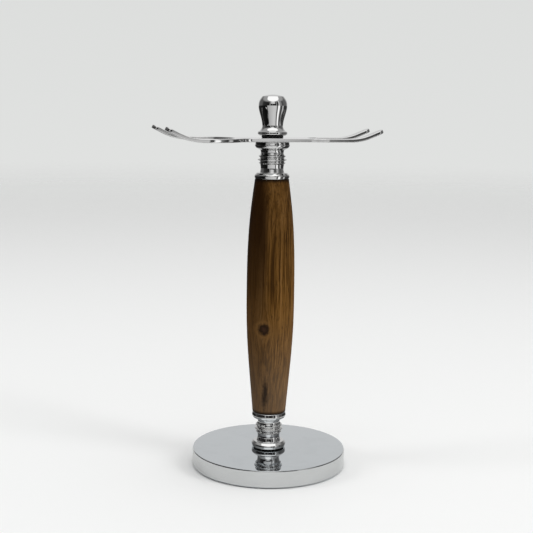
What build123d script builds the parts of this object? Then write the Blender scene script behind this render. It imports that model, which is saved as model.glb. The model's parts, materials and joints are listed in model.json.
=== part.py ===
"""Razor and brush stand: a turned wooden column between two chromed ferrules on a weighted disc.

A forked cradle plate sits on the column, with a wide slot for the shaving brush and a narrow
one for the razor, and a turned finial clamps it. One threaded rod ties the stack together.
Millimetres, +Z up. The origin is on the surface that the stand rests on, on the column's axis.
The brush fork points to -X and the razor fork to +X.
"""
from build123d import *
import math
import os

# Driving dimensions
BASE_DIAMETER = 65.0
BASE_TOP = 7.6            # height of the base's upper face above the table
PAD_THICKNESS = 0.5
GASKET_THICKNESS = 0.5    # black gasket between the base and the lower ferrule
FERRULE_HEIGHT = 15.3
WOOD_LENGTH = 99.4
PLATE_THICKNESS = 1.5
WASHER_THICKNESS = 1.0    # black washer under the finial
FINIAL_HEIGHT = 16.7
ROD_DIAMETER = 4.9        # M5 stud, measured over its thread crests
THREAD_PITCH = 0.8
BRUSH_SLOT = 29.6         # clear width between the brush prongs
RAZOR_SLOT = 12.2         # clear width between the razor prongs
PRONG_WIDTH = 4.4

# Heights of the joints in the stack
COLUMN_BOTTOM = BASE_TOP + GASKET_THICKNESS
WOOD_BOTTOM = COLUMN_BOTTOM + FERRULE_HEIGHT
WOOD_TOP = WOOD_BOTTOM + WOOD_LENGTH
PLATE_BOTTOM = WOOD_TOP + FERRULE_HEIGHT
PLATE_TOP = PLATE_BOTTOM + PLATE_THICKNESS
FINIAL_BOTTOM = PLATE_TOP + WASHER_THICKNESS

# Holes round the rod
ROD_RADIUS = ROD_DIAMETER / 2
RUNNING_HOLE = ROD_RADIUS + 0.075    # the plate, the washer and the finial turn on the rod
CLEARANCE_HOLE = ROD_RADIUS + 0.15
WOOD_BORE = 3.0

# Locating spigot under each ferrule, and its seat in the base or in the wood
SPIGOT_RADIUS = 4.0
SPIGOT_LENGTH = 1.8
SEAT_RADIUS = SPIGOT_RADIUS + 0.05
WOOD_SEAT_DEPTH = 2.4

# Base
BASE_EDGE = 0.3
PAD_RADIUS = BASE_DIAMETER / 2 - 2.5
POCKET_RADIUS = 7.5                  # room for a socket spanner round the nut
POCKET_TOP = 5.6
GASKET_RADIUS = 6.35

# Fastening under the base
FLAT_WASHER_RADIUS = 6.0
FLAT_WASHER_THICKNESS = 1.0
SPRING_WASHER_RADIUS = 4.6
SPRING_WASHER_THICKNESS = 1.2
SPRING_WASHER_SPLIT = 0.7
NUT_ACROSS_FLATS = 8.0
NUT_THICKNESS = 2.7
NUT_TOP = POCKET_TOP - FLAT_WASHER_THICKNESS - SPRING_WASHER_THICKNESS
NUT_BOTTOM = NUT_TOP - NUT_THICKNESS

# Tie rod
THREAD_DEPTH = 0.4
ROD_BOTTOM = NUT_BOTTOM + 0.1
ROD_IN_FINIAL = 9.0
ROD_TOP = FINIAL_BOTTOM + ROD_IN_FINIAL
FINIAL_BORE_DEPTH = ROD_IN_FINIAL + 0.6

# Black washer and finial
FINIAL_WASHER_RADIUS = 4.5

# Cradle plate
BRUSH_CENTRE = -31.0                 # X of the round end of each slot
RAZOR_CENTRE = 21.5
BRUSH_TIP = -47.4                    # X reached by the prong tips
RAZOR_TIP = 45.2
HUB_HALF_WIDTH = 8.8
HUB_FILLET = 6.0
BEND_RADIUS = 24.0                   # to the middle of the sheet
BRUSH_BEND_START = -32.0
BRUSH_BEND_ANGLE = 27.0
RAZOR_BEND_START = 30.5
RAZOR_BEND_ANGLE = 22.0


def turned(*edges):
    """Solid turned about the column's axis from a closed half section of (radius, height) edges."""
    outline = edges[0]
    for edge in edges[1:]:
        outline += edge
    return revolve(Plane.XZ * make_face(outline), axis=Axis.Z)


def ring(outer, inner, bottom, top):
    """Plain ring or, with no inner radius, a plain disc."""
    if inner == 0:
        return turned(Polyline((0, bottom), (outer, bottom), (outer, top), (0, top), close=True))
    return turned(Polyline((inner, bottom), (outer, bottom), (outer, top), (inner, top), close=True))


def base_pad():
    """Thin foam disc that keeps the metal off the table and covers the nut."""
    return ring(PAD_RADIUS, 0, 0, PAD_THICKNESS)


def base_disc():
    """Solid weighted disc with a pocket for the nut and a seat for the lower ferrule."""
    radius = BASE_DIAMETER / 2
    return turned(Polyline(
        (POCKET_RADIUS, PAD_THICKNESS),
        (radius - BASE_EDGE, PAD_THICKNESS),
        (radius, PAD_THICKNESS + BASE_EDGE),
        (radius, BASE_TOP - BASE_EDGE),
        (radius - BASE_EDGE, BASE_TOP),
        (SEAT_RADIUS, BASE_TOP),
        (SEAT_RADIUS, POCKET_TOP),
        (POCKET_RADIUS, POCKET_TOP),
        close=True))


def base_flat_washer():
    """Wide washer that bridges the ferrule's seat and presses the base against the column."""
    bottom = POCKET_TOP - FLAT_WASHER_THICKNESS
    return ring(FLAT_WASHER_RADIUS, CLEARANCE_HOLE, bottom, POCKET_TOP)


def base_spring_washer():
    """Split washer, drawn flat as it is when the nut is tight."""
    top = NUT_TOP + SPRING_WASHER_THICKNESS
    split = Box(SPRING_WASHER_RADIUS, SPRING_WASHER_SPLIT, 2 * SPRING_WASHER_THICKNESS)
    split = Pos(SPRING_WASHER_RADIUS, 0, (NUT_TOP + top) / 2) * Rot(X=30) * split
    return ring(SPRING_WASHER_RADIUS, CLEARANCE_HOLE, NUT_TOP, top) - split


def base_nut():
    """Thin hexagon nut with its corners rounded off on both faces."""
    flats = RegularPolygon(NUT_ACROSS_FLATS / 2, 6, major_radius=False) - Circle(ROD_RADIUS + 0.05)
    nut = Pos(0, 0, NUT_BOTTOM) * extrude(flats, NUT_THICKNESS)
    flat = NUT_ACROSS_FLATS / 2
    corner = flat / math.cos(math.radians(30))
    drop = (corner - flat) * math.tan(math.radians(30))
    blank = turned(Polyline(
        (0, NUT_BOTTOM),
        (flat, NUT_BOTTOM),
        (corner, NUT_BOTTOM + drop),
        (corner, NUT_TOP - drop),
        (flat, NUT_TOP),
        (0, NUT_TOP),
        close=True))
    return nut & blank


def base_gasket():
    """Thin black gasket that keeps the ferrule from marking the base."""
    return ring(GASKET_RADIUS, SEAT_RADIUS, BASE_TOP, COLUMN_BOTTOM)


def thread_outline(bottom, top):
    """Points up one side of a thread, from crest to crest, drawn as rings of the same pitch."""
    count = int((top - bottom) / THREAD_PITCH)
    points = []
    for turn in range(count):
        height = bottom + turn * THREAD_PITCH
        points.append((ROD_RADIUS, height + 0.15 * THREAD_PITCH))
        points.append((ROD_RADIUS - THREAD_DEPTH, height + 0.5 * THREAD_PITCH))
        points.append((ROD_RADIUS, height + 0.85 * THREAD_PITCH))
    return points


def tie_rod():
    """Stud from the nut to the finial, threaded at both ends and plain inside the wood."""
    lower_thread = thread_outline(ROD_BOTTOM, BASE_TOP)
    upper_thread = thread_outline(PLATE_BOTTOM, ROD_TOP)
    end_radius = ROD_RADIUS - THREAD_DEPTH
    points = [(0, ROD_BOTTOM), (end_radius, ROD_BOTTOM)]
    points += lower_thread + upper_thread
    points += [(end_radius, ROD_TOP), (0, ROD_TOP)]
    return turned(Polyline(*points, close=True))


def ferrule(bottom):
    """Turned fitting: a rounded foot ring, a long neck, three sharp ribs, a short neck, a collar."""
    neck = 4.68                          # at the middle of each hollow neck
    neck_end = neck + 0.3
    groove = 4.9
    foot_ring = ThreePointArc((6.9, 0), (7.28, 1.0), (6.5, 2.25))
    foot_cove = ThreePointArc((6.5, 2.25), (5.35, 2.4), (neck_end, 3.0))
    long_neck = ThreePointArc((neck_end, 3.0), (neck, 4.5), (neck_end, 6.0))
    ribs = Polyline(
        (neck_end, 6.0),
        (5.6, 6.55),
        (groove, 7.15),
        (6.2, 7.85),
        (groove, 8.6),
        (5.7, 9.35),
        (neck_end, 9.95))
    short_neck = ThreePointArc((neck_end, 9.95), (neck, 10.9), (neck_end, 11.85))
    underside = Line((neck_end, 11.85), (6.6, 12.75))
    collar = ThreePointArc((6.6, 12.75), (7.22, 13.9), (6.8, FERRULE_HEIGHT))
    inside = Polyline(
        (6.8, FERRULE_HEIGHT),
        (CLEARANCE_HOLE, FERRULE_HEIGHT),
        (CLEARANCE_HOLE, -SPIGOT_LENGTH),
        (SPIGOT_RADIUS, -SPIGOT_LENGTH),
        (SPIGOT_RADIUS, 0),
        (6.9, 0))
    return Pos(0, 0, bottom) * turned(
        foot_ring, foot_cove, long_neck, ribs, short_neck, underside, collar, inside)


def wood_handle():
    """Turned barrel, fullest a little above its middle, bored for the rod and the top spigot."""
    end_radius = 7.05
    barrel = Spline(
        (end_radius, 0),
        (7.55, 0.06 * WOOD_LENGTH),
        (9.05, 0.235 * WOOD_LENGTH),
        (9.85, 0.37 * WOOD_LENGTH),
        (10.05, 0.53 * WOOD_LENGTH),
        (9.8, 0.70 * WOOD_LENGTH),
        (8.85, 0.85 * WOOD_LENGTH),
        (7.7, 0.95 * WOOD_LENGTH),
        (end_radius, WOOD_LENGTH))
    inside = Polyline(
        (end_radius, WOOD_LENGTH),
        (SEAT_RADIUS, WOOD_LENGTH),
        (SEAT_RADIUS, WOOD_LENGTH - WOOD_SEAT_DEPTH),
        (WOOD_BORE, WOOD_LENGTH - WOOD_SEAT_DEPTH),
        (WOOD_BORE, 0),
        (end_radius, 0))
    return Pos(0, 0, WOOD_BOTTOM) * turned(barrel, inside)


def fork_outline(centre, tip, slot_width):
    """Plan of one fork: a ring round the slot's end, and two prongs that reach the tip."""
    direction = math.copysign(1, tip)
    outer = slot_width / 2 + PRONG_WIDTH
    prong_line = (slot_width + PRONG_WIDTH) / 2
    straight_end = tip - direction * PRONG_WIDTH / 2
    length = abs(straight_end - centre)
    middle = (straight_end + centre) / 2
    outline = Pos(centre, 0) * Circle(outer)
    for side in (-1, 1):
        outline += Pos(middle, side * prong_line) * Rectangle(length, PRONG_WIDTH)
        outline += Pos(straight_end, side * prong_line) * Circle(PRONG_WIDTH / 2)
    return outline


def fork_slot(centre, tip, slot_width):
    """Plan of the open slot between two prongs."""
    length = abs(tip - centre) + PRONG_WIDTH
    middle = centre + math.copysign(length / 2, tip)
    return Pos(centre, 0) * Circle(slot_width / 2) + Pos(middle, 0) * Rectangle(length, slot_width)


def plate_outline():
    """Plan of the cradle plate, with soft corners where the forks leave the hub."""
    hub = Pos((BRUSH_CENTRE + RAZOR_CENTRE) / 2, 0) * Rectangle(
        RAZOR_CENTRE - BRUSH_CENTRE, 2 * HUB_HALF_WIDTH)
    outline = fork_outline(BRUSH_CENTRE, BRUSH_TIP, BRUSH_SLOT)
    outline += fork_outline(RAZOR_CENTRE, RAZOR_TIP, RAZOR_SLOT)
    outline += hub
    corners = outline.vertices().filter_by(
        lambda corner: abs(abs(corner.Y) - HUB_HALF_WIDTH) < 0.01 and BRUSH_CENTRE < corner.X < RAZOR_CENTRE)
    outline = fillet(corners, HUB_FILLET)
    outline -= fork_slot(BRUSH_CENTRE, BRUSH_TIP, BRUSH_SLOT)
    outline -= fork_slot(RAZOR_CENTRE, RAZOR_TIP, RAZOR_SLOT)
    return outline - Circle(RUNNING_HOLE)


def plate_side_view():
    """Side view of the bent sheet: flat over the column, its two ends curled upwards."""
    middle = PLATE_BOTTOM + PLATE_THICKNESS / 2
    flat = Line((BRUSH_BEND_START, middle), (RAZOR_BEND_START, middle))
    path = flat
    for start, angle, tip in ((BRUSH_BEND_START, BRUSH_BEND_ANGLE, BRUSH_TIP),
                              (RAZOR_BEND_START, RAZOR_BEND_ANGLE, RAZOR_TIP)):
        direction = math.copysign(1, tip)
        turn = math.radians(angle)
        end = (start + direction * BEND_RADIUS * math.sin(turn),
               middle + BEND_RADIUS * (1 - math.cos(turn)))
        halfway = (start + direction * BEND_RADIUS * math.sin(turn / 2),
                   middle + BEND_RADIUS * (1 - math.cos(turn / 2)))
        reach = abs(tip - end[0]) + PLATE_THICKNESS
        path += ThreePointArc((start, middle), halfway, end)
        path += Line(end, (end[0] + direction * reach, end[1] + reach * math.tan(turn)))
    return trace(path, PLATE_THICKNESS)


def cradle_plate():
    """Stamped and bent fork plate that carries the brush and the razor."""
    sheet_width = BRUSH_SLOT + 4 * PRONG_WIDTH
    sheet = extrude(Plane.XZ * plate_side_view(), sheet_width / 2, both=True)
    blank = Pos(0, 0, PLATE_BOTTOM - PLATE_THICKNESS) * extrude(plate_outline(), 10 * PLATE_THICKNESS)
    return sheet & blank


def finial_washer():
    """Black washer that keeps the finial from marking the plate."""
    return ring(FINIAL_WASHER_RADIUS, RUNNING_HOLE, PLATE_TOP, FINIAL_BOTTOM)


def finial():
    """Turned knob: a flared foot, a waist and a domed head, tapped from below for the rod."""
    shoulder = (4.4, 15.95)
    foot_top = (5.85, 1.5)
    foot = Polyline((RUNNING_HOLE, 0), (5.3, 0), (6.1, 0.6), (6.15, 1.2), foot_top)
    body = Spline(
        foot_top,
        (4.75, 2.6),
        (4.32, 4.4),
        (4.95, 7.6),
        (5.9, 11.7),
        (5.35, 14.6),
        shoulder)
    dome_rise = FINIAL_HEIGHT - shoulder[1]
    dome_radius = (shoulder[0] ** 2 + dome_rise ** 2) / (2 * dome_rise)
    halfway = math.asin(shoulder[0] / dome_radius) / 2
    crown = (dome_radius * math.sin(halfway), FINIAL_HEIGHT - dome_radius * (1 - math.cos(halfway)))
    dome = ThreePointArc(shoulder, crown, (0, FINIAL_HEIGHT))
    bore = Polyline(
        (0, FINIAL_HEIGHT),
        (0, FINIAL_BORE_DEPTH),
        (RUNNING_HOLE, FINIAL_BORE_DEPTH),
        (RUNNING_HOLE, 0))
    return Pos(0, 0, FINIAL_BOTTOM) * turned(foot, body, dome, bore)


PARTS = {
    "base_pad": base_pad(),
    "base_disc": base_disc(),
    "base_nut": base_nut(),
    "base_spring_washer": base_spring_washer(),
    "base_flat_washer": base_flat_washer(),
    "base_gasket": base_gasket(),
    "tie_rod": tie_rod(),
    "lower_ferrule": ferrule(COLUMN_BOTTOM),
    "wood_handle": wood_handle(),
    "upper_ferrule": ferrule(WOOD_TOP),
    "cradle_plate": cradle_plate(),
    "finial_washer": finial_washer(),
    "finial": finial(),
}

os.makedirs("parts", exist_ok=True)
for node, shape in PARTS.items():
    export_step(shape, f"parts/{node}.step")
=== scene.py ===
"""Looks of the razor and brush stand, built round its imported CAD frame. Metres, +Z up.

Turned pieces are lathed from their half sections, and every corner of a section is rounded. Sizes
are in millimetres in the sections, times MM. Azimuths are in degrees: 0 is the -Y side, 90 the +X side.
"""
import json
import math

import bmesh
import bpy
from mathutils import Matrix, Vector

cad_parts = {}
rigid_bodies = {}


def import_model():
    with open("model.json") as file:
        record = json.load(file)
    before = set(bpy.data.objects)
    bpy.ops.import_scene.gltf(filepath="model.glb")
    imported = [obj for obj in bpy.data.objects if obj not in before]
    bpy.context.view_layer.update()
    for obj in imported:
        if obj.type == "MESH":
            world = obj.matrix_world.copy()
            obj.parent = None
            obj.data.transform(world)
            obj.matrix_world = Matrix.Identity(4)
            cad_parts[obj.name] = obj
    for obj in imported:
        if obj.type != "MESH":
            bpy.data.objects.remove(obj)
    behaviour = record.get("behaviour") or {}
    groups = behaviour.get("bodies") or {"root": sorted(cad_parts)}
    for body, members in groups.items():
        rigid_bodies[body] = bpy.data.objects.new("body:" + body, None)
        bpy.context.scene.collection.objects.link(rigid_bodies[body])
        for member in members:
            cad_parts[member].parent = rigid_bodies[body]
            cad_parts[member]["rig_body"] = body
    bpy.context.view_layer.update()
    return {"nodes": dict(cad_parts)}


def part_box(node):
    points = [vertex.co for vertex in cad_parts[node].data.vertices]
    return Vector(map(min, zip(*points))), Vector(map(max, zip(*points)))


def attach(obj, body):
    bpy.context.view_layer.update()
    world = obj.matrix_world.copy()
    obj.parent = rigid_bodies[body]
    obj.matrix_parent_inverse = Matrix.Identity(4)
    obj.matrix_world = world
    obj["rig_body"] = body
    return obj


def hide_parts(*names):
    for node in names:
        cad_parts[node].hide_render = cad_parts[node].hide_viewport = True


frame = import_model()

MM = 0.001

# Camera: in front of the stand, a little round towards the brush fork. Degrees, and metres.
CAMERA_AZIMUTH = -14.84
CAMERA_DISTANCE = 0.450
CAMERA_HEIGHT = 0.1544
CAMERA_YAW = -0.229
CAMERA_PITCH = 8.664
CAMERA_ROLL = 0.733
CAMERA_LENS = 73.13            # millimetres, for Blender's 36 mm wide sensor

# Turned pieces
TURN_STEPS = 192               # segments round a lathed piece
ARC_STEP = math.radians(12)    # one segment of a rounded corner
SIDE_SHARE = 0.45              # most of a straight side that one rounded corner may take
ON_AXIS = 1e-6                 # a smaller radius, in millimetres, is a point on the axis

# Fit of the stack, as the CAD has it
SPIGOT_LENGTH = 1.8
SPIGOT_RADIUS = 4.0
SEAT_RADIUS = SPIGOT_RADIUS + 0.05
RUNNING_RADIUS = 2.525         # holes that turn on the rod
CLEARANCE_RADIUS = 2.6
THREAD_PITCH = 0.8
THREAD_DEPTH = 0.4

# Heights of the wood's ends, in metres
WOOD_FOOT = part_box("wood_handle")[0].z
WOOD_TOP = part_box("wood_handle")[1].z


# ---------------------------------------------------------------- places

def around(azimuth, distance, height):
    """Point at an azimuth, a distance from the column's axis and a height."""
    turn = math.radians(azimuth)
    return Vector((distance * math.sin(turn), -distance * math.cos(turn), height))


def bottom_of(node):
    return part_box(node)[0].z / MM


def top_of(node):
    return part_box(node)[1].z / MM


def radius_of(node):
    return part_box(node)[1].y / MM


# ---------------------------------------------------------------- meshes

def stands_for(piece, node):
    """piece is shown in place of a CAD node, and moves with that node's body."""
    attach(piece, frame["nodes"][node]["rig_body"])
    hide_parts(node)


def placed(name, mesh, materials):
    """Object that shows a mesh with these materials."""
    piece = bpy.data.objects.new(name, mesh)
    bpy.context.scene.collection.objects.link(piece)
    for material in materials:
        mesh.materials.append(material)
    return piece


def spline(points, steps):
    """Points along the natural cubic spline of radius against height through (radius, height) points."""
    heights = [height for radius, height in points]
    radii = [radius for radius, height in points]
    count = len(points)
    gaps = [heights[i + 1] - heights[i] for i in range(count - 1)]
    # Forward and back substitution for the second derivatives, which are zero at both ends
    upper = [0.0] * count
    right = [0.0] * count
    for i in range(1, count - 1):
        slope_change = (radii[i + 1] - radii[i]) / gaps[i] - (radii[i] - radii[i - 1]) / gaps[i - 1]
        pivot = 2 * (gaps[i - 1] + gaps[i]) - gaps[i - 1] * upper[i - 1]
        upper[i] = gaps[i] / pivot
        right[i] = (6 * slope_change - gaps[i - 1] * right[i - 1]) / pivot
    curve = [0.0] * count
    for i in range(count - 2, 0, -1):
        curve[i] = right[i] - upper[i] * curve[i + 1]
    tolerance = 1e-9
    line = []
    for step in range(steps + 1):
        height = heights[0] + (heights[-1] - heights[0]) * step / steps
        i = min(count - 2, max(k for k in range(count) if heights[k] <= height + tolerance))
        before = heights[i + 1] - height
        after = height - heights[i]
        gap = gaps[i]
        radius = (curve[i] * before ** 3 + curve[i + 1] * after ** 3) / (6 * gap)
        radius += (radii[i] / gap - curve[i] * gap / 6) * before
        radius += (radii[i + 1] / gap - curve[i + 1] * gap / 6) * after
        line.append((radius, height))
    return line


def rounded(corners, closed):
    """Points and outward normals along a half section of (radius, height, corner radius) corners.

    The section runs outwards along the bottom and upwards outside. A corner radius of 0 marks a
    point on a smooth curve, or an end on the axis.
    """
    count = len(corners)
    line = []
    for i, corner in enumerate(corners):
        here = Vector(corner[:2])
        bend = corner[2] if len(corner) > 2 else 0
        if not closed and i in (0, count - 1):
            line.append((here, Vector((0, -1 if i == 0 else 1))))
            continue
        before = Vector(corners[i - 1][:2]) - here
        after = Vector(corners[(i + 1) % count][:2]) - here
        arriving = -before.normalized()
        leaving = after.normalized()
        turn = arriving.angle_signed(leaving)
        if bend == 0:
            along = (arriving + leaving).normalized()
            line.append((here, Vector((along.y, -along.x))))
            continue
        half_tangent = math.tan(abs(turn) / 2)
        reach = min(bend * half_tangent, SIDE_SHARE * before.length, SIDE_SHARE * after.length)
        bend = reach / half_tangent
        # angle_signed is clockwise: a positive turn goes to the right
        side = Vector((arriving.y, -arriving.x)) * math.copysign(1, turn)
        centre = here - arriving * reach + side * bend
        steps = max(2, math.ceil(abs(turn) / ARC_STEP))
        for step in range(steps + 1):
            spin = Matrix.Rotation(-turn * step / steps, 2)
            spoke = spin @ -side
            line.append((centre + spoke * bend, spoke * -math.copysign(1, turn)))
    return line


def lathe(name, corners, materials, closed=True, base=0.0, pick=None):
    """Solid turned about the column's axis. pick(radius, height) chooses a face's material."""
    line = rounded(corners, closed)
    vertices = []
    normals = []
    rows = []
    for point, normal in line:
        if point.x < ON_AXIS:
            rows.append([len(vertices)] * TURN_STEPS)
            vertices.append((0, 0, (base + point.y) * MM))
            normals.append((0, 0, math.copysign(1, normal.y)))
            continue
        rows.append(range(len(vertices), len(vertices) + TURN_STEPS))
        for step in range(TURN_STEPS):
            turn = math.tau * step / TURN_STEPS
            across = Vector((math.cos(turn), math.sin(turn)))
            vertices.append((point.x * MM * across.x, point.x * MM * across.y, (base + point.y) * MM))
            normals.append((normal.x * across.x, normal.x * across.y, normal.y))
    faces = []
    chosen = []
    pairs = list(zip(rows, rows[1:]))
    if closed:
        pairs.append((rows[-1], rows[0]))
    for index, (low, high) in enumerate(pairs):
        middle = (line[index][0] + line[(index + 1) % len(line)][0]) / 2
        for step in range(TURN_STEPS):
            after = (step + 1) % TURN_STEPS
            face = [low[step], low[after], high[after], high[step]]
            faces.append(list(dict.fromkeys(face)))
            chosen.append(pick(middle.x, middle.y) if pick else 0)
    mesh = bpy.data.meshes.new(name)
    mesh.from_pydata(vertices, [], faces)
    mesh.shade_smooth()
    mesh.normals_split_custom_set_from_vertices(normals)
    piece = placed(name, mesh, materials)
    mesh.polygons.foreach_set("material_index", chosen)
    return piece


# ---------------------------------------------------------------- shader helpers

def new_material(name):
    """Material with a Principled shader, and its node tree and shader."""
    material = bpy.data.materials.new(name)
    material.use_nodes = True
    tree = material.node_tree
    return material, tree, tree.nodes["Principled BSDF"]


def add(tree, kind, inputs=(), **settings):
    """Adds a node. inputs are (socket, value) pairs, where a value is a constant or another output."""
    node = tree.nodes.new(kind)
    for setting, value in settings.items():
        setattr(node, setting, value)
    for socket, value in inputs:
        if isinstance(value, bpy.types.NodeSocket):
            tree.links.new(value, node.inputs[socket])
        else:
            node.inputs[socket].default_value = value
    return node


def position(tree):
    """The point on the piece, in metres in the frame."""
    return add(tree, "ShaderNodeTexCoord").outputs["Object"]


def vector_node(tree, operation, first, second):
    return add(tree, "ShaderNodeVectorMath", [(0, first), (1, second)], operation=operation).outputs[0]


def stretched(tree, vector, scale):
    """A vector with each part scaled."""
    return vector_node(tree, "MULTIPLY", vector, scale)


def length_of(tree, vector):
    return add(tree, "ShaderNodeVectorMath", [(0, vector)], operation="LENGTH").outputs["Value"]


def part_along(tree, vector, axis):
    """How far a vector reaches along a direction."""
    node = add(tree, "ShaderNodeVectorMath", [(0, vector), (1, axis)], operation="DOT_PRODUCT")
    return node.outputs["Value"]


def height_of(tree, vector):
    return add(tree, "ShaderNodeSeparateXYZ", [(0, vector)]).outputs["Z"]


def math_node(tree, operation, first, second=0.0):
    return add(tree, "ShaderNodeMath", [(0, first), (1, second)], operation=operation).outputs[0]


def weighted_sum(tree, *terms):
    """Sum of (value, weight) terms."""
    total = math_node(tree, "MULTIPLY", *terms[0])
    for value, weight in terms[1:]:
        total = math_node(tree, "ADD", total, math_node(tree, "MULTIPLY", value, weight))
    return total


def centred(tree, value, width):
    """A 0..1 value spread over width, with its middle at 0."""
    return math_node(tree, "MULTIPLY", math_node(tree, "SUBTRACT", value, 0.5), width)


def noise(tree, vector, scale, detail=3.0, roughness=0.5, distortion=0.0):
    node = add(tree, "ShaderNodeTexNoise", [
        ("Vector", vector), ("Scale", scale), ("Detail", detail),
        ("Roughness", roughness), ("Distortion", distortion)])
    return node.outputs["Fac"]


def remap(tree, value, low, high, new_low, new_high, kind="SMOOTHSTEP"):
    """value from low..high to new_low..new_high, held at both ends."""
    node = add(tree, "ShaderNodeMapRange", [
        ("Value", value), ("From Min", low), ("From Max", high),
        ("To Min", new_low), ("To Max", new_high)], interpolation_type=kind)
    return node.outputs["Result"]


def ramp(tree, value, stops):
    """Colour along a ramp of (place, colour) stops."""
    node = add(tree, "ShaderNodeValToRGB", [("Fac", value)])
    elements = node.color_ramp.elements
    while len(elements) < len(stops):
        elements.new(1.0)
    for element, (place, colour) in zip(elements, stops):
        element.position = place
        element.color = (*colour, 1.0)
    return node.outputs["Color"]


def blend(tree, factor, first, second, mode="MIX"):
    """Mix of two colours."""
    node = add(tree, "ShaderNodeMix", [(0, factor), (6, first), (7, second)],
               data_type="RGBA", blend_type=mode)
    return node.outputs[2]


def bumped(tree, height, strength, distance):
    """Normals of a relief. distance is its height in metres."""
    inputs = [("Height", height), ("Strength", strength), ("Distance", distance)]
    return add(tree, "ShaderNodeBump", inputs).outputs["Normal"]


def opaque(colour):
    return (*colour, 1.0)


# ---------------------------------------------------------------- materials

def chrome(name, tint=(0.64, 0.64, 0.635), smear=(1, 1, 1)):
    """Bright plating with faint handling smears, hairline scratches and slightly wavy polish."""
    clean = 0.018                  # roughness between the smears
    material, tree, shader = new_material(name)
    place = position(tree)
    smears = noise(tree, stretched(tree, place, smear), scale=90, detail=4, roughness=0.6, distortion=0.6)
    haze = remap(tree, smears, 0.45, 0.75, 0, 1)
    hairs = noise(tree, stretched(tree, place, (1, 1, 0.04)), scale=9000, detail=2)
    scratches = remap(tree, hairs, 0.66, 0.74, 0, 1)
    dull = tuple(part * 0.96 for part in tint)
    colour = blend(tree, haze, opaque(tint), opaque(dull))
    tree.links.new(colour, shader.inputs["Base Color"])
    rough = math_node(tree, "ADD", weighted_sum(tree, (haze, 0.035), (scratches, 0.04)), clean)
    tree.links.new(rough, shader.inputs["Roughness"])
    waves = noise(tree, place, scale=160, detail=2)
    tree.links.new(bumped(tree, waves, strength=0.25, distance=0.00004), shader.inputs["Normal"])
    shader.inputs["Metallic"].default_value = 1.0
    return material


def satin_rim(name):
    """Turned edge of the base: plating over fine lathe lines that run round it."""
    material, tree, shader = new_material(name)
    place = position(tree)
    lines = noise(tree, stretched(tree, place, (0.02, 0.02, 1)), scale=9000, detail=4, roughness=0.7)
    patches = noise(tree, place, scale=60, detail=3)
    colour = ramp(tree, lines, [(0.3, (0.53, 0.54, 0.54)), (0.7, (0.64, 0.65, 0.65))])
    tree.links.new(colour, shader.inputs["Base Color"])
    tree.links.new(remap(tree, patches, 0.3, 0.7, 0.16, 0.24), shader.inputs["Roughness"])
    tree.links.new(bumped(tree, lines, strength=0.35, distance=0.00001), shader.inputs["Normal"])
    shader.inputs["Metallic"].default_value = 1.0
    return material


def plain_steel(name, tint, rough):
    """Zinc plated steel with a crystalline mottle and a few rubbed places."""
    material, tree, shader = new_material(name)
    place = position(tree)
    mottle = noise(tree, place, scale=1400, detail=4, roughness=0.65)
    rubbed = noise(tree, place, scale=260, detail=3)
    dark = tuple(part * 0.72 for part in tint)
    tree.links.new(blend(tree, mottle, opaque(dark), opaque(tint)), shader.inputs["Base Color"])
    tree.links.new(remap(tree, rubbed, 0.35, 0.65, rough + 0.14, rough), shader.inputs["Roughness"])
    tree.links.new(bumped(tree, mottle, strength=0.3, distance=0.00002), shader.inputs["Normal"])
    shader.inputs["Metallic"].default_value = 1.0
    return material


def black_washer_fibre(name):
    """Black fibre of a washer or gasket, with a dull, slightly pitted skin."""
    material, tree, shader = new_material(name)
    place = position(tree)
    pits = noise(tree, place, scale=3500, detail=4, roughness=0.6)
    dust = noise(tree, place, scale=500, detail=3)
    colour = ramp(tree, dust, [(0.4, (0.008, 0.008, 0.008)), (0.75, (0.022, 0.021, 0.020))])
    tree.links.new(colour, shader.inputs["Base Color"])
    tree.links.new(remap(tree, pits, 0.3, 0.7, 0.42, 0.62), shader.inputs["Roughness"])
    tree.links.new(bumped(tree, pits, strength=0.4, distance=0.00004), shader.inputs["Normal"])
    shader.inputs["Specular IOR Level"].default_value = 0.4
    return material


def pad_foam(name):
    """Closed cell foam: small round cells in a dark grey skin."""
    material, tree, shader = new_material(name)
    place = position(tree)
    cells = add(tree, "ShaderNodeTexVoronoi", [("Vector", place), ("Scale", 3200.0)]).outputs["Distance"]
    colour = ramp(tree, cells, [(0.1, (0.010, 0.010, 0.011)), (0.6, (0.045, 0.045, 0.046))])
    tree.links.new(colour, shader.inputs["Base Color"])
    tree.links.new(remap(tree, cells, 0.0, 0.7, 0.75, 0.95), shader.inputs["Roughness"])
    tree.links.new(bumped(tree, cells, strength=0.5, distance=0.00006), shader.inputs["Normal"])
    return material


def distance_from(tree, place, centre, size):
    """Distance from a centre, in sizes: 1 is on the ellipsoid with those half sizes."""
    away = vector_node(tree, "SUBTRACT", place, centre)
    return length_of(tree, vector_node(tree, "DIVIDE", away, size))


def pushed_aside(tree, place, centre, size, amount):
    """Grain coordinates that flow round a knot."""
    near = remap(tree, distance_from(tree, place, centre, size), 0.0, 1.0, amount, 0.0)
    away = vector_node(tree, "SUBTRACT", place, centre)
    shift = add(tree, "ShaderNodeVectorMath", [(0, away), (3, near)], operation="SCALE").outputs[0]
    return vector_node(tree, "SUBTRACT", place, shift)


# Centres of the walnut's marks
KNOT = around(-30, 0.0098, 0.0607)
BARK_STREAK = around(-26, 0.0083, 0.0325)
SMALL_KNOT = around(140, 0.0098, 0.0900)


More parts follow.
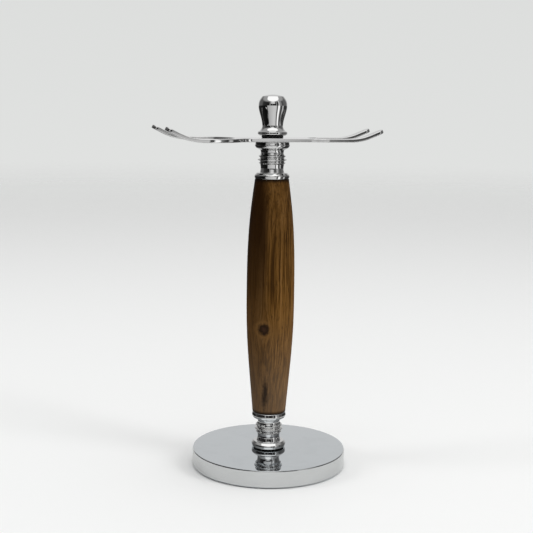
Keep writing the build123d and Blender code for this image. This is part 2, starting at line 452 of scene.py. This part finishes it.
def grain_flow(tree, place):
    """Coordinates that run along the grain, round the knots and with a slow sway."""
    flow = pushed_aside(tree, place, KNOT, (0.0060, 0.0060, 0.0095), 0.75)
    flow = pushed_aside(tree, flow, SMALL_KNOT, (0.0050, 0.0050, 0.0080), 0.7)
    sway = noise(tree, stretched(tree, flow, (1, 1, 0.22)), scale=55, detail=2)
    sway = centred(tree, sway, 0.0045)
    swayed = add(tree, "ShaderNodeCombineXYZ", [(0, sway), (1, sway)]).outputs[0]
    return vector_node(tree, "ADD", flow, swayed)


def growth_bands(tree, flow):
    """Shells round a pith line well outside the barrel."""
    pith_line = (0.021, 0.034, 0.0)
    from_pith = stretched(tree, vector_node(tree, "SUBTRACT", flow, pith_line), (1, 1, 0.03))
    bands = add(tree, "ShaderNodeCombineXYZ", [(0, length_of(tree, from_pith))]).outputs[0]
    return noise(tree, bands, scale=900, detail=3, roughness=0.6)


def uneven_tone(tree, colour, place, broad):
    """Greyer low down, darker towards the top, and darkest there on the brush's side."""
    # The dark is at least partly shade that the photo shows on the wood, from the brush beside it
    # and from light that falls off. It is kept in the colour, so it stays whatever the light is.
    brush_side = around(-88, 1.0, 0.0)
    level = height_of(tree, place)
    greyer = remap(tree, level, WOOD_FOOT, WOOD_FOOT + 0.050, 0.55, 0.0)
    colour = blend(tree, greyer, colour, opaque((0.165, 0.110, 0.068)))
    facing = part_along(tree, place, brush_side)
    lean = weighted_sum(tree, (facing, 1.0), (broad, 0.004), (level, 0.025))
    side = remap(tree, lean, 0.0048, 0.0112, 0.0, 1.0)
    upper = remap(tree, level, WOOD_FOOT + 0.010, WOOD_FOOT + 0.085, 0.32, 0.96)
    crown = remap(tree, level, WOOD_FOOT + 0.040, WOOD_FOOT + 0.095, 0.0, 0.42)
    shade = math_node(tree, "MAXIMUM", math_node(tree, "MULTIPLY", side, upper), crown)
    return blend(tree, shade, colour, opaque((0.016, 0.0055, 0.0006)))


def spotted(tree, colour, share, inner, outer, strength, mark):
    """A mark laid over a colour, at full strength inside one share of its size and gone at another."""
    return blend(tree, remap(tree, share, inner, outer, strength, 0.0), colour, opaque(mark))


def knotted(tree, colour, place, streaks):
    """Two knots and a bark streak, all with ragged edges."""
    lumps = noise(tree, place, scale=900, detail=3, roughness=0.6)
    ragged = math_node(tree, "ADD", centred(tree, streaks, 0.9), centred(tree, lumps, 0.9))

    def ragged_share(centre, size):
        return math_node(tree, "ADD", distance_from(tree, place, centre, size), ragged)

    # The knot has a dark ring round a slightly lighter heart, and a pale ring outside it
    knot = ragged_share(KNOT, (0.0022, 0.0060, 0.0025))
    colour = spotted(tree, colour, knot, 1.10, 1.90, 0.60, (0.150, 0.074, 0.022))
    colour = spotted(tree, colour, knot, 0.60, 1.35, 0.92, (0.0085, 0.0040, 0.0022))
    colour = spotted(tree, colour, knot, 0.10, 0.75, 0.80, (0.042, 0.0195, 0.0100))
    bark = ragged_share(BARK_STREAK, (0.0012, 0.0060, 0.0066))
    colour = spotted(tree, colour, bark, 0.35, 1.35, 0.85, (0.013, 0.009, 0.007))
    small = ragged_share(SMALL_KNOT, (0.0016, 0.0060, 0.0019))
    return spotted(tree, colour, small, 0.60, 1.25, 0.85, (0.012, 0.0065, 0.004))


def painted_joint_shade(tree, colour, place):
    """Painted shade: both ends of the wood are darkened where it meets the metal."""
    half = (WOOD_TOP - WOOD_FOOT) / 2
    from_middle = math_node(tree, "SUBTRACT", height_of(tree, place), WOOD_FOOT + half)
    # A near-black band at each end, painted as the shade in the joint with the metal
    joint_shade_mask = remap(tree, math_node(tree, "ABSOLUTE", from_middle), half - 0.0018, half - 0.0002, 0.0, 0.9)
    return blend(tree, joint_shade_mask, colour, opaque((0.006, 0.003, 0.0012)))


def walnut(name):
    """Oiled olive brown walnut: growth bands, dark streaks, fine pores, two knots and a bark streak."""
    material, tree, shader = new_material(name)
    place = position(tree)
    flow = grain_flow(tree, place)
    growth = growth_bands(tree, flow)
    broad = noise(tree, stretched(tree, flow, (1, 1, 0.07)), scale=210, detail=3, roughness=0.55)
    streaks = noise(tree, stretched(tree, flow, (1, 1, 0.022)), scale=1500, detail=4, roughness=0.66)
    pores = noise(tree, stretched(tree, flow, (1, 1, 0.045)), scale=5200, detail=2, roughness=0.5)
    clouds = noise(tree, stretched(tree, place, (1, 1, 0.45)), scale=70, detail=2)

    tone = weighted_sum(tree, (growth, 0.36), (broad, 0.16), (streaks, 0.48))
    tone = math_node(tree, "ADD", tone, remap(tree, clouds, 0.35, 0.65, -0.025, 0.025))
    colour = ramp(tree, tone, [
        (0.36, (0.018, 0.0070, 0.0008)),
        (0.44, (0.060, 0.0250, 0.0030)),
        (0.51, (0.136, 0.0625, 0.0122)),
        (0.59, (0.198, 0.0970, 0.0270)),
        (0.68, (0.260, 0.1430, 0.0480))])
    pore_marks = remap(tree, pores, 0.58, 0.68, 0.0, 0.75)
    colour = blend(tree, pore_marks, colour, opaque((0.014, 0.006, 0.001)))
    colour = uneven_tone(tree, colour, place, broad)
    colour = knotted(tree, colour, place, streaks)
    # Painted shade at both ends, where the wood meets the metal
    colour = painted_joint_shade(tree, colour, place)

    tree.links.new(colour, shader.inputs["Base Color"])
    tree.links.new(remap(tree, streaks, 0.3, 0.7, 0.56, 0.42), shader.inputs["Roughness"])
    relief = math_node(tree, "SUBTRACT", streaks, math_node(tree, "MULTIPLY", pore_marks, 0.8))
    tree.links.new(bumped(tree, relief, strength=0.45, distance=0.00008), shader.inputs["Normal"])
    shader.inputs["Specular IOR Level"].default_value = 0.05
    return material


# ---------------------------------------------------------------- pieces

def foot_pad():
    """Foam disc under the base, with a soft edge."""
    radius = radius_of("base_pad")
    thick = top_of("base_pad")
    section = [(0, 0), (radius, 0, 0.2), (radius, thick, 0.1), (0, thick)]
    return lathe("foot_pad", section, [pad_foam("pad_foam")], closed=False)


def base():
    """Heavy disc: mirror top, satin edge, a pocket for the nut and a seat for the ferrule."""
    radius = radius_of("base_disc")
    bottom = bottom_of("base_disc")
    top = top_of("base_disc")
    pocket_radius = 7.5
    pocket_top = 5.6
    edge = 0.3
    bevel_height = 0.42
    bevel_width = 0.16
    satin_bottom = bottom + 0.25   # the satin takes the bevel, and stops short of both faces
    satin_top = top - 0.03
    section = [
        (pocket_radius, bottom, 0.15),
        (radius, bottom, edge),
        (radius, top - bevel_height, edge),
        (radius - bevel_width, top, 0.06),
        (SEAT_RADIUS, top, 0.1),
        (SEAT_RADIUS, pocket_top, 0.1),
        (pocket_radius, pocket_top, 0.15)]
    materials = [chrome("base_chrome", (0.60, 0.63, 0.65)), satin_rim("base_rim")]

    def material_of(r, z):
        on_side = r > radius - bevel_width and satin_bottom < z < satin_top
        return 1 if on_side else 0

    return lathe("weighted_base", section, materials, pick=material_of)


def ferrule(name, node):
    """Turned fitting: foot ring, long neck, three sharp ribs, short neck and collar."""
    height = top_of(node) - bottom_of(node) - SPIGOT_LENGTH
    neck = 4.68                    # at the middle of each hollow neck
    neck_end = neck + 0.3
    groove = 4.9
    crest = 0.16
    root = 0.22
    section = [
        (CLEARANCE_RADIUS, -SPIGOT_LENGTH, 0.1),
        (SPIGOT_RADIUS, -SPIGOT_LENGTH, 0.2),
        (SPIGOT_RADIUS, 0, 0.1),
        (7.05, 0, 0.35),
        (7.36, 1.4, 0.9),
        (6.35, 2.50, 0.45),
        (5.15, 2.40, 0.5),
        (neck_end, 3.00, 0.4),
        (neck, 4.45, 3.0),
        (neck_end, 5.95, 0.3),
        (5.60, 6.55, crest),
        (groove, 7.15, root),
        (6.20, 7.85, crest),
        (groove, 8.60, root),
        (5.70, 9.35, crest),
        (neck_end, 9.95, 0.25),
        (neck, 10.90, 2.0),
        (neck_end, 11.85, 0.25),
        (6.75, 12.75, 0.5),
        (7.30, 13.60, 1.1),
        (6.95, height, 0.45),
        (CLEARANCE_RADIUS, height, 0.15)]
    return lathe(name, section, [chrome("ferrule_chrome")], base=bottom_of(node) + SPIGOT_LENGTH)


def gasket():
    """Thin black ring squeezed between the base and the lower ferrule."""
    bottom = bottom_of("base_gasket")
    top = top_of("base_gasket")
    radius = radius_of("base_gasket")
    section = [
        (SEAT_RADIUS, bottom, 0.1),
        (radius, bottom, 0.2),
        (radius, top, 0.2),
        (SEAT_RADIUS, top, 0.1)]
    return lathe("black_gasket", section, [black_washer_fibre("gasket_black")])


def handle():
    """Turned wooden barrel with eased ends, bored for the rod and the spigot."""
    length = top_of("wood_handle") - bottom_of("wood_handle")
    end = 7.05
    spline_steps = 160
    barrel = spline([
        (end, 0),
        (7.55, 0.06 * length),
        (9.05, 0.235 * length),
        (9.85, 0.37 * length),
        (10.05, 0.53 * length),
        (9.8, 0.70 * length),
        (8.85, 0.85 * length),
        (7.7, 0.95 * length),
        (end, length)], spline_steps)
    eased = 0.35
    bore = 3.0
    seat_floor = length - 2.4
    section = [(bore, 0, 0.2), (end, 0, eased)]
    section += [(radius, height, 0) for radius, height in barrel[2:-2]]
    section += [
        (end, length, eased),
        (SEAT_RADIUS, length, 0.2),
        (SEAT_RADIUS, seat_floor, 0.2),
        (bore, seat_floor, 0.2)]
    return lathe("walnut_handle", section, [walnut("walnut")], base=bottom_of("wood_handle"))


def thread_radius(crest, height, turn, bottom, top):
    """Radius of the rod at a height and angle, where the thread runs out gently at both ends."""
    flat = 0.1                     # share of the depth cut off at the crests and at the roots
    phase = (height / THREAD_PITCH - turn / math.tau) % 1.0
    tooth = abs(2 * phase - 1)
    tooth = min(1.0, max(0.0, (1 + 2 * flat) * tooth - flat))
    ends = min(1.0, (height - bottom) / THREAD_PITCH, (top - height) / THREAD_PITCH)
    return crest - THREAD_DEPTH * (1 - tooth * max(0.0, ends))


def stacked_rings(count, steps):
    """Faces round a stack of rings of vertices, closed by one vertex before them and one after."""
    last = count * steps + 1
    faces = []
    for step in range(steps):
        after = (step + 1) % steps
        faces.append((0, 1 + after, 1 + step))
        faces.append((last, last - steps + step, last - steps + after))
        for ring in range(count - 1):
            low = 1 + ring * steps
            high = low + steps
            faces.append((low + step, low + after, high + after, high + step))
    return faces


def rod():
    """Stud with a true helical thread at both ends and a plain shank between them."""
    crest = radius_of("tie_rod")
    rod_bottom = bottom_of("tie_rod")
    rod_top = top_of("tie_rod")
    lower_end = top_of("base_disc")
    upper_end = bottom_of("cradle_plate")
    shank = crest - 0.25
    rings_per_pitch = 12
    steps = 64
    chamfer = 0.45
    chamfer_slope = 0.6            # radius lost for each millimetre of height
    heights = []
    for low, high in ((rod_bottom, lower_end), (upper_end, rod_top)):
        count = round((high - low) / THREAD_PITCH * rings_per_pitch)
        heights += [low + (high - low) * ring / count for ring in range(count + 1)]
    vertices = [(0, 0, rod_bottom * MM)]
    for height in heights:
        threaded = (rod_bottom, lower_end) if height <= lower_end else (upper_end, rod_top)
        tip = min(height - rod_bottom, rod_top - height)
        for step in range(steps):
            turn = math.tau * step / steps
            radius = thread_radius(crest, height, turn, *threaded)
            if height in (lower_end, upper_end):
                radius = shank
            if tip < chamfer:
                radius = min(radius, crest - THREAD_DEPTH - (chamfer - tip) * chamfer_slope)
            vertices.append((radius * MM * math.cos(turn), radius * MM * math.sin(turn), height * MM))
    vertices.append((0, 0, rod_top * MM))
    mesh = bpy.data.meshes.new("threaded_rod")
    mesh.from_pydata(vertices, [], stacked_rings(len(heights), steps))
    mesh.shade_smooth()
    return placed("threaded_rod", mesh, [plain_steel("rod_steel", (0.60, 0.59, 0.56), 0.24)])


def black_washer():
    """Washer under the finial, its edge bulged a little by the clamping."""
    bottom = bottom_of("finial_washer")
    top = top_of("finial_washer")
    radius = radius_of("finial_washer")
    section = [
        (RUNNING_RADIUS, bottom, 0.1),
        (radius, bottom, 0.35),
        (radius, top, 0.35),
        (RUNNING_RADIUS, top, 0.1)]
    return lathe("black_washer", section, [black_washer_fibre("washer_black")])


def knob():
    """Turned finial: a flared foot, a waist and a domed head, tapped from below."""
    bottom = bottom_of("finial")
    height = top_of("finial") - bottom
    bore_top = 9.6
    shoulder = (4.4, 15.95)
    spline_steps = 70
    body = spline([
        (5.85, 1.5),
        (4.75, 2.6),
        (4.32, 4.4),
        (4.95, 7.6),
        (5.9, 11.7),
        (5.35, 14.6),
        shoulder], spline_steps)
    dome_rise = height - shoulder[1]
    dome_radius = (shoulder[0] ** 2 + dome_rise ** 2) / (2 * dome_rise)
    dome_half = math.asin(shoulder[0] / dome_radius)
    dome_steps = 16
    dome = []
    for step in range(1, dome_steps):
        turn = dome_half * (1 - step / dome_steps)
        dome.append((dome_radius * math.sin(turn), height - dome_radius * (1 - math.cos(turn)), 0))
    section = [
        (0, bore_top),
        (RUNNING_RADIUS, bore_top, 0.1),
        (RUNNING_RADIUS, 0, 0.2),
        (5.4, 0, 0.25),
        (6.15, 0.6, 0.5),
        (6.1, 1.45, 0.3)]
    section += [(radius, z, 0) for radius, z in body[2:-2]]
    section += [(*shoulder, 0.5)] + dome + [(0, height)]
    return lathe("finial_knob", section, [chrome("finial_chrome")], closed=False, base=bottom)


# ---------------------------------------------------------------- cradle plate

BRUSH_CENTRE = -31.0           # X of the round end of each slot, in millimetres
RAZOR_CENTRE = 21.5
BRUSH_SLOT = 29.6
RAZOR_SLOT = 12.2
PRONG_WIDTH = 4.4
HUB_HALF_WIDTH = 8.8
HUB_FILLET = 6.0
BEND_RADIUS = 24.0
BRUSH_BEND = (-32.0, 27.0)     # where it starts, and its angle
RAZOR_BEND = (30.5, 22.0)
PLATE_EDGE = 0.38              # radius of the polished edges
BEND_STEPS = 18
OUTLINE_STEP = 6               # degrees, one segment of the outline's arcs
HOLE_GAP = 5.625               # degrees, the hole's last segment
PLATE_LOW, PLATE_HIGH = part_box("cradle_plate")


def arc(centre, radius, start, end):
    """Points of an arc from start to end, in degrees."""
    steps = max(3, math.ceil(abs(end - start) / OUTLINE_STEP))
    points = []
    for step in range(steps + 1):
        turn = math.radians(start + (end - start) * step / steps)
        points.append((centre[0] + radius * math.cos(turn), centre[1] + radius * math.sin(turn)))
    return points


def half_outline(inset):
    """Plan of the plate's +Y half, from the brush slot's end round to the razor slot's end."""
    brush_tip = PLATE_LOW.x / MM + PRONG_WIDTH / 2
    razor_tip = PLATE_HIGH.x / MM - PRONG_WIDTH / 2
    fillet_height = HUB_HALF_WIDTH + HUB_FILLET
    line = []
    fillets = []
    for centre, slot, direction in ((BRUSH_CENTRE, BRUSH_SLOT, 1), (RAZOR_CENTRE, RAZOR_SLOT, -1)):
        outer = slot / 2 + PRONG_WIDTH
        reach = math.sqrt((outer + HUB_FILLET) ** 2 - fillet_height ** 2)
        angle = math.degrees(math.atan2(fillet_height, direction * reach))
        fillets.append(((centre + direction * reach, fillet_height), angle))
    brush_inner = BRUSH_SLOT / 2
    brush_outer = brush_inner + PRONG_WIDTH
    razor_inner = RAZOR_SLOT / 2
    razor_outer = razor_inner + PRONG_WIDTH
    tip = PRONG_WIDTH / 2 - inset
    (brush_fillet, brush_angle), (razor_fillet, razor_angle) = fillets
    line += arc((BRUSH_CENTRE, 0), brush_inner + inset, 0, 90)
    line += arc((brush_tip, brush_inner + PRONG_WIDTH / 2), tip, 270, 90)
    line += arc((BRUSH_CENTRE, 0), brush_outer - inset, 90, brush_angle)
    line += arc(brush_fillet, HUB_FILLET + inset, 180 + brush_angle, 270)[1:]
    line += arc(razor_fillet, HUB_FILLET + inset, 270, 180 + razor_angle)
    line += arc((RAZOR_CENTRE, 0), razor_outer - inset, razor_angle, 90)[1:]
    line += arc((razor_tip, razor_inner + PRONG_WIDTH / 2), tip, 90, -90)
    line += arc((RAZOR_CENTRE, 0), razor_inner + inset, 90, 180)
    return line


def plate_outline(inset):
    """Whole plan of the plate, as one closed line."""
    half = half_outline(inset)
    return half + [(x, -y) for x, y in reversed(half[1:-1])]


def hole_outline(inset):
    """Plan of the hole for the rod."""
    return arc((0, 0), RUNNING_RADIUS + inset, 0, HOLE_GAP - 360)


def bent(x, offset):
    """X, height and slope of the bent sheet, from X and the offset from its middle when flat."""
    start, angle = BRUSH_BEND if x < 0 else RAZOR_BEND
    direction = math.copysign(1, x)
    along = direction * (x - start)
    if along <= 0:
        return x, offset, 0.0
    limit = math.radians(angle)
    slope = math.asin(min(along / BEND_RADIUS, math.sin(limit)))
    rise = BEND_RADIUS * (1 - math.cos(slope))
    rise += max(0.0, along - BEND_RADIUS * math.sin(limit)) * math.tan(limit)
    return x - direction * offset * math.sin(slope), rise + offset * math.cos(slope), direction * slope


def edge_section(thickness):
    """Rows of (inset, height, outward share, upward share) across a rounded edge, bottom to top."""
    steps = 6
    half = thickness / 2
    rows = []
    for side in (-1, 1):
        for step in range(steps + 1):
            turn = math.radians(90) * (step / steps if side > 0 else 1 - step / steps)
            rows.append((
                PLATE_EDGE * (1 - math.cos(turn)),
                side * (half - PLATE_EDGE + PLATE_EDGE * math.sin(turn)),
                math.cos(turn),
                side * math.sin(turn)))
    return rows


def outward(line):
    """Unit vectors out of a closed line that runs anticlockwise round the sheet."""
    count = len(line)
    found = []
    for i in range(count):
        before = Vector(line[i - 1])
        after = Vector(line[(i + 1) % count])
        along = (after - before).normalized()
        found.append(Vector((along.y, -along.x)))
    return found


def edge_rows(body, normal_of, outline, section, is_hole):
    """Rows of vertices up one edge of the flat sheet, with the faces between them."""
    line = outline(0)
    area = sum(a[0] * b[1] - b[0] * a[1] for a, b in zip(line, line[1:] + line[:1]))
    turned_round = (area < 0) != is_hole
    rows = []
    for inset, height, out_share, up_share in section:
        line = outline(inset)
        if turned_round:
            line = line[::-1]
        row = []
        for (x, y), out in zip(line, outward(line)):
            vertex = body.verts.new((x, y, height))
            vertex[normal_of] = Vector((out.x * out_share, out.y * out_share, up_share))
            row.append(vertex)
        rows.append(row)
    for low, high in zip(rows, rows[1:]):
        for i in range(len(low)):
            j = (i + 1) % len(low)
            body.faces.new((low[i], low[j], high[j], high[i]))
    return rows


def edges_round(body, row):
    """Edges that join one row of vertices into a ring."""
    return [body.edges.get((row[i], row[(i + 1) % len(row)])) for i in range(len(row))]


def flat_sheet(thickness):
    """The plate before it is bent, and the layer of its vertices that holds their normals."""
    body = bmesh.new()
    normal_of = body.verts.layers.float_vector.new("sheet_normal")
    section = edge_section(thickness)
    outside = edge_rows(body, normal_of, plate_outline, section, is_hole=False)
    hole = edge_rows(body, normal_of, hole_outline, section, is_hole=True)
    for index, up in ((0, -1), (-1, 1)):
        edges = edges_round(body, outside[index]) + edges_round(body, hole[index])
        face_normal = Vector((0, 0, up))
        bmesh.ops.triangle_fill(
            body, use_beauty=True, use_dissolve=False, edges=edges, normal=face_normal)
    return body, normal_of


def cut_for_bending(body):
    """Cuts the flat sheet into strips that can follow the bends."""
    snap = 0.0005                  # a cut this near a vertex goes through it
    for start, tip in ((BRUSH_BEND[0], PLATE_LOW.x / MM), (RAZOR_BEND[0], PLATE_HIGH.x / MM)):
        for step in range(BEND_STEPS + 1):
            x = start + (tip - start) * step / (BEND_STEPS + 1)
            parts = body.verts[:] + body.edges[:] + body.faces[:]
            bmesh.ops.bisect_plane(body, geom=parts, dist=snap, plane_co=(x, 0, 0), plane_no=(1, 0, 0))
    bmesh.ops.recalc_face_normals(body, faces=body.faces[:])


def plate():
    """Forked cradle plate with rounded edges, made flat and then bent."""
    thickness = bottom_of("finial_washer") - bottom_of("cradle_plate")
    middle = bottom_of("cradle_plate") + thickness / 2
    body, normal_of = flat_sheet(thickness)
    cut_for_bending(body)
    normals = []
    for vertex in body.verts:
        x, z, slope = bent(vertex.co.x, vertex.co.z)
        vertex.co = Vector((x * MM, vertex.co.y * MM, (middle + z) * MM))
        normals.append(Matrix.Rotation(-slope, 3, "Y") @ vertex[normal_of].normalized())
    mesh = bpy.data.meshes.new("cradle")
    body.to_mesh(mesh)
    body.free()
    mesh.shade_smooth()
    mesh.normals_split_custom_set_from_vertices(normals)
    return placed("cradle", mesh, [chrome("plate_chrome", smear=(0.3, 1, 1))])


# ---------------------------------------------------------------- studio

FLOOR_RADIUS = 3.0
FLOOR_SEEN = (0.25, 0.8 * FLOOR_RADIUS)    # the floor fades out between these distances
FLOOR_MIRRORED = (0.055, 0.13)             # and in the chrome between these
AIM_HEIGHT = 0.08              # the lights point at the column here
SOFTBOX_LEAN = 0.33            # the mirrored softbox is this much in front of the zenith
SOFTBOX_EDGE = 0.87            # how nearly overhead its edge is, where 1 is overhead
SOFTBOX_BLUR = 0.03
PALE = 0.74                    # greys of the mirrored walls
STRIP = 1.5
CEILING = 0.46

# Mirrored walls as (degrees from the camera's side, grey) stops, positive to the camera's right.
# They were chosen to give the chrome the dark and pale bands that it has in the photo.
# The dark left side stands in for the brush, or for a dark part of the room: which can't be told.
LOW_WALLS = [
    (-180, 0.55), (-166, 0.45), (-154, 0.03), (-62, 0.005), (-49, 0.01), (-42, 0.55), (-18, 0.70),
    (10, 0.85), (30, 0.80), (34, 0.10), (41, 0.12), (46, STRIP), (57, STRIP), (61, 0.30), (70, 0.10),
    (80, 0.04), (86, 0.70), (93, 0.70), (98, 0.05), (125, 0.04), (150, 0.06), (164, 0.45), (180, 0.55)]
HIGH_WALLS = [
    (-180, PALE), (-164, PALE), (-150, 0.45), (-134, 0.14), (-100, 0.14), (-84, 0.04), (-44, 0.02),
    (-28, 0.02), (-23, 0.60), (-18, 0.02), (-6, 0.02), (-3, 0.30), (0, 0.02), (26, 0.02), (30, 0.55),
    (34, 0.03), (45, 0.04), (48, 0.90), (53, 0.90), (57, 0.35), (70, 0.32), (80, 0.08), (104, 0.16),
    (132, 0.16), (150, 0.50), (164, PALE), (180, PALE)]
# Pale patch in front, above the dark horizon
FRONT_PATCH = [(-22, 0.0), (-12, 0.85), (12, 0.90), (22, 0.0)]

# How steeply a mirrored ray rises where one wall gives way to the next
LOW_TO_HIGH = (-0.045, -0.005)
PATCH_FADE = (0.20, 0.27)
CEILING_FADE = (0.38, 0.70)


def studio_floor():
    """Pale table top that fades into the background far from the stand."""
    bpy.ops.mesh.primitive_circle_add(vertices=128, radius=FLOOR_RADIUS, fill_type="NGON")
    floor = bpy.context.object
    floor.name = "floor"
    material, tree, shader = new_material("floor")
    place = position(tree)
    shader.inputs["Base Color"].default_value = (0.86, 0.865, 0.86, 1.0)
    shader.inputs["Roughness"].default_value = 0.6
    shader.inputs["Specular IOR Level"].default_value = 0.15
    away = length_of(tree, place)
    seen = remap(tree, away, *FLOOR_SEEN, 1.0, 0.0)
    mirrored = remap(tree, away, *FLOOR_MIRRORED, 1.0, 0.0)
    is_mirrored = add(tree, "ShaderNodeLightPath").outputs["Is Glossy Ray"]
    choice = add(tree, "ShaderNodeMix", [(0, is_mirrored), (2, seen), (3, mirrored)], data_type="FLOAT")
    tree.links.new(choice.outputs[0], shader.inputs["Alpha"])
    floor.data.materials.append(material)


def softbox(name, azimuth, distance, height, size, power):
    """Rectangular soft light that faces the stand."""
    light = bpy.data.lights.new(name, "AREA")
    light.shape = "RECTANGLE"
    light.size, light.size_y = size
    light.energy = power
    lamp = bpy.data.objects.new(name, light)
    lamp.location = around(azimuth, distance, height)
    lamp.visible_glossy = False
    towards = Vector((0, 0, AIM_HEIGHT)) - lamp.location
    lamp.rotation_euler = towards.to_track_quat("-Z", "Y").to_euler()
    bpy.context.scene.collection.objects.link(lamp)


def grey(value):
    return (value, value, value)


def by_azimuth(tree, azimuth, stops):
    """Grey levels round the studio, from (degrees, grey) stops."""
    return ramp(tree, azimuth, [((place + 180) / 360, grey(value)) for place, value in stops])


def above(tree, height, fade, under, over):
    """One colour below a fade between two heights, and another above it."""
    return blend(tree, remap(tree, height, *fade, 0.0, 1.0), under, over)


def mirrored_studio(tree, azimuth, ahead, height):
    """What glossy rays see: pale table, black flags, bright strips, a ceiling and a softbox overhead."""
    black = opaque(grey(0.0))
    walls = by_azimuth(tree, azimuth, HIGH_WALLS)
    patch = above(tree, height, PATCH_FADE, black, by_azimuth(tree, azimuth, FRONT_PATCH))
    walls = blend(tree, 1.0, walls, patch, "LIGHTEN")
    ceiling = above(tree, height, CEILING_FADE, black, opaque(grey(CEILING)))
    walls = blend(tree, 1.0, walls, ceiling, "LIGHTEN")
    mirrored = above(tree, height, LOW_TO_HIGH, by_azimuth(tree, azimuth, LOW_WALLS), walls)
    overhead = weighted_sum(tree, (ahead, SOFTBOX_LEAN), (height, 1.0))
    softbox_fade = (SOFTBOX_EDGE - SOFTBOX_BLUR, SOFTBOX_EDGE + SOFTBOX_BLUR)
    return above(tree, overhead, softbox_fade, mirrored, opaque(grey(STRIP)))


def studio_world():
    """Pale seamless background, soft fill light, and a banded studio that only glossy rays see."""
    world = bpy.data.worlds.new("studio")
    world.use_nodes = True
    bpy.context.scene.world = world
    tree = world.node_tree
    tree.nodes.clear()
    direction = add(tree, "ShaderNodeTexCoord").outputs["Generated"]
    path = add(tree, "ShaderNodeLightPath").outputs
    front = around(CAMERA_AZIMUTH, 1.0, 0.0)
    right = around(CAMERA_AZIMUTH + 90, 1.0, 0.0)
    ahead = part_along(tree, direction, front)
    across = part_along(tree, direction, right)
    height = height_of(tree, direction)
    azimuth = math_node(tree, "ARCTAN2", across, ahead)
    azimuth = remap(tree, azimuth, -math.pi, math.pi, 0.0, 1.0, "LINEAR")

    backdrop = ramp(tree, remap(tree, height, -0.05, 0.35, 0.0, 1.0, "LINEAR"), [
        (0.0, (0.745, 0.755, 0.745)), (1.0, (0.68, 0.69, 0.68))])
    # Soft light, weaker from the camera's left
    side = remap(tree, across, -0.9, 0.5, 0.0, 1.0)
    fill = blend(tree, side, opaque(grey(0.26)), opaque(grey(0.84)))
    colour = blend(tree, path["Is Glossy Ray"], fill, mirrored_studio(tree, azimuth, ahead, height))
    colour = blend(tree, path["Is Camera Ray"], colour, backdrop)
    shade = add(tree, "ShaderNodeBackground", [("Color", colour)])
    out = add(tree, "ShaderNodeOutputWorld")
    tree.links.new(shade.outputs[0], out.inputs[0])


def studio_camera():
    camera = bpy.data.objects.new("camera", bpy.data.cameras.new("camera"))
    camera.data.lens = CAMERA_LENS
    camera.data.clip_start = 0.01
    camera.data.clip_end = 50
    place = Matrix.Translation(around(CAMERA_AZIMUTH, CAMERA_DISTANCE, CAMERA_HEIGHT))
    turn = Matrix.Rotation(math.radians(CAMERA_AZIMUTH - CAMERA_YAW), 4, "Z")
    tilt = Matrix.Rotation(math.radians(90 - CAMERA_PITCH), 4, "X")
    roll = Matrix.Rotation(math.radians(CAMERA_ROLL), 4, "Z")
    camera.matrix_world = place @ turn @ tilt @ roll
    bpy.context.scene.collection.objects.link(camera)
    bpy.context.scene.camera = camera


# ---------------------------------------------------------------- the stand

stands_for(foot_pad(), "base_pad")
stands_for(base(), "base_disc")
stands_for(gasket(), "base_gasket")
stands_for(ferrule("ferrule_low", "lower_ferrule"), "lower_ferrule")
stands_for(handle(), "wood_handle")
stands_for(ferrule("ferrule_high", "upper_ferrule"), "upper_ferrule")
stands_for(rod(), "tie_rod")
stands_for(plate(), "cradle_plate")
stands_for(black_washer(), "finial_washer")
stands_for(knob(), "finial")

fastener_steel = plain_steel("fastener_steel", (0.58, 0.57, 0.54), 0.28)
for node in ("base_nut", "base_spring_washer", "base_flat_washer"):
    frame["nodes"][node].data.materials.clear()
    frame["nodes"][node].data.materials.append(fastener_steel)

studio_floor()
studio_world()
softbox("light_right", CAMERA_AZIMUTH + 62, distance=1.10, height=0.75, size=(0.4, 0.6), power=4.8)
softbox("light_left", CAMERA_AZIMUTH - 80, distance=1.10, height=0.75, size=(0.4, 0.6), power=3.2)
softbox("light_top", CAMERA_AZIMUTH, distance=0.05, height=1.40, size=(0.8, 0.8), power=4.9)
studio_camera()
bpy.context.scene.view_settings.view_transform = "Standard"
